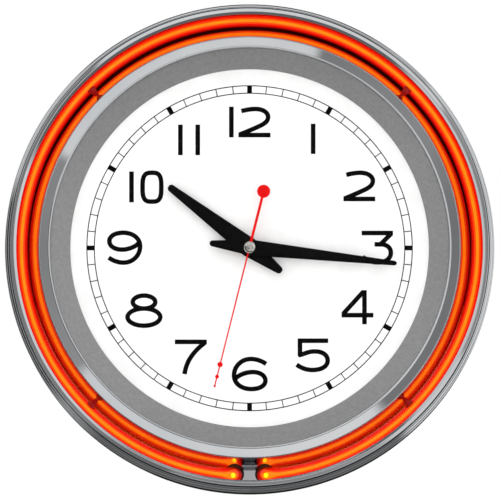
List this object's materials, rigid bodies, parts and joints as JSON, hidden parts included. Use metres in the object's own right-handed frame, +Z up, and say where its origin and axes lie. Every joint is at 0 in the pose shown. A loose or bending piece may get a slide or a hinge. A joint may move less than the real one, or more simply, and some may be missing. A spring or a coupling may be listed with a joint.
{
  "type": "service station advertising clock",
  "caption": "Round wall clock with a chrome rim, a neon ring in a polished trough, a white dial with black hands and a battery movement.",
  "frame": {"origin": "on the clock's axis in the plane of the wall", "axes": "+Y runs from the dial into the wall, +Z is up towards 12 o'clock, +X is towards 3 o'clock"},
  "size_m": [0.3682, 0.0889, 0.3682],
  "materials": {
    "chrome": "chrome-plated ABS, mirror polished",
    "neon_glass": "clear glass tube glowing red-orange",
    "black_rubber": "matt black silicone rubber",
    "clip_plastic": "clear polycarbonate in red light",
    "clear_glass": "clear flat float glass",
    "satin_silver": "satin silver lacquer",
    "dial_white": "white printed aluminium",
    "black_abs": "black spark-eroded ABS",
    "zinc_steel": "bright zinc-plated steel",
    "circuit_board": "glass epoxy board with green mask",
    "potting": "black potting resin",
    "capacitor_sleeve": "shrink sleeve",
    "bare_aluminium": "extruded aluminium",
    "lead_insulation": "white silicone insulation",
    "black_nylon": "moulded black nylon",
    "nickel": "polished nickel plate",
    "switch_rocker_plastic": "gloss black ABS",
    "movement_case": "moulded black ABS",
    "brass": "turned brass",
    "acetal": "moulded natural acetal",
    "knob_plastic": "moulded light grey ABS",
    "rotor_magnet": "sintered magnet with a moulded pinion",
    "copper_wire": "enamelled copper wire winding",
    "cell_sleeve": "plain grey cell sleeve",
    "black_lacquer": "black lacquered aluminium",
    "red_lacquer": "red lacquered aluminium"
  },
  "bodies": {
    "clock": {"bezel_screws": "zinc_steel", "board_screws": "zinc_steel", "capacitors": "capacitor_sleeve", "cell_contacts": "nickel", "centre_nut": "brass", "centre_washer": "brass", "chip": "potting", "circuit_board": "circuit_board", "coil": "copper_wire", "crystal": "nickel", "dial_plate": "dial_white", "dial_screws": "zinc_steel", "dial_surround": "satin_silver", "electrode_caps": "black_rubber", "hanger_plate": "zinc_steel", "hanger_screws": "zinc_steel", "heat_sink": "bare_aluminium", "housing_screws": "zinc_steel", "inner_bezel": "chrome", "lens": "clear_glass", "lens_gasket": "black_rubber", "movement_back_case": "movement_case", "movement_front_case": "movement_case", "movement_gasket": "black_rubber", "neon_tube": "neon_glass", "outer_rim": "chrome", "power_socket": "black_nylon", "rear_housing": "black_abs", "socket_nut": "nickel", "stator": "zinc_steel", "step_up_transformer": "potting", "supply_board": "circuit_board", "switch_frame": "black_nylon", "train_plate": "movement_case", "tube_clips": "clip_plastic", "tube_grommets": "black_rubber", "tube_leads": "lead_insulation", "tube_trough": "chrome", "wall_pads": "black_rubber"},
    "second_train": {"second_wheel": "acetal", "second_hand": "red_lacquer", "hub_cap": "nickel"},
    "intermediate": {"intermediate_wheel": "acetal"},
    "rotor_body": {"rotor": "rotor_magnet"},
    "third": {"third_wheel": "acetal"},
    "centre": {"centre_wheel": "acetal"},
    "minute_train": {"minute_wheel": "brass", "minute_hand": "black_lacquer"},
    "hour_train": {"hour_wheel": "acetal", "hour_hand": "black_lacquer"},
    "motion": {"motion_wheel": "acetal", "setting_knob": "knob_plastic"},
    "cell_body": {"cell": "cell_sleeve"},
    "rocker_body": {"switch_rocker": "switch_rocker_plastic"}
  },
  "joints": [
    {"name": "second_sweep", "type": "hinge", "parent": "clock", "child": "second_train", "pos_m": [0, -0.06, 0], "axis": [0, 1, 0], "continuous": true},
    {"name": "intermediate_spin", "type": "hinge", "parent": "clock", "child": "intermediate", "pos_m": [0.01015, -0.06, 0.00369], "axis": [0, 1, 0], "continuous": true},
    {"name": "rotor_spin", "type": "hinge", "parent": "clock", "child": "rotor_body", "pos_m": [0.01852, -0.06, 0.00296], "axis": [0, 1, 0], "continuous": true},
    {"name": "third_spin", "type": "hinge", "parent": "clock", "child": "third", "pos_m": [-0.009, -0.06, 0], "axis": [0, 1, 0], "continuous": true},
    {"name": "centre_spin", "type": "hinge", "parent": "clock", "child": "centre", "pos_m": [0, -0.06, 0], "axis": [0, 1, 0], "continuous": true},
    {"name": "minute_sweep", "type": "hinge", "parent": "clock", "child": "minute_train", "pos_m": [0, -0.06, 0], "axis": [0, 1, 0], "continuous": true},
    {"name": "hour_sweep", "type": "hinge", "parent": "clock", "child": "hour_train", "pos_m": [0, -0.06, 0], "axis": [0, 1, 0], "continuous": true},
    {"name": "motion_spin", "type": "hinge", "parent": "clock", "child": "motion", "pos_m": [0, -0.06, 0.012], "axis": [0, 1, 0], "continuous": true},
    {"name": "cell_slide", "type": "slide", "parent": "clock", "child": "cell_body", "axis": [0, 1, 0], "range_m": [0, 0.02]},
    {"name": "switch_rock", "type": "hinge", "parent": "clock", "child": "rocker_body", "pos_m": [-0.026, -0.0139, -0.1638], "axis": [0, -1, 0], "range_deg": [0, 16]}
  ],
  "couplings": [
    {"joint": "intermediate_spin", "follows": "second_sweep", "ratio": -5},
    {"joint": "rotor_spin", "follows": "second_sweep", "ratio": 30},
    {"joint": "third_spin", "follows": "second_sweep", "ratio": -0.13333},
    {"joint": "centre_spin", "follows": "second_sweep", "ratio": 0.016667},
    {"joint": "hour_sweep", "follows": "minute_sweep", "ratio": 0.083333},
    {"joint": "motion_spin", "follows": "minute_sweep", "ratio": -0.33333}
  ]
}
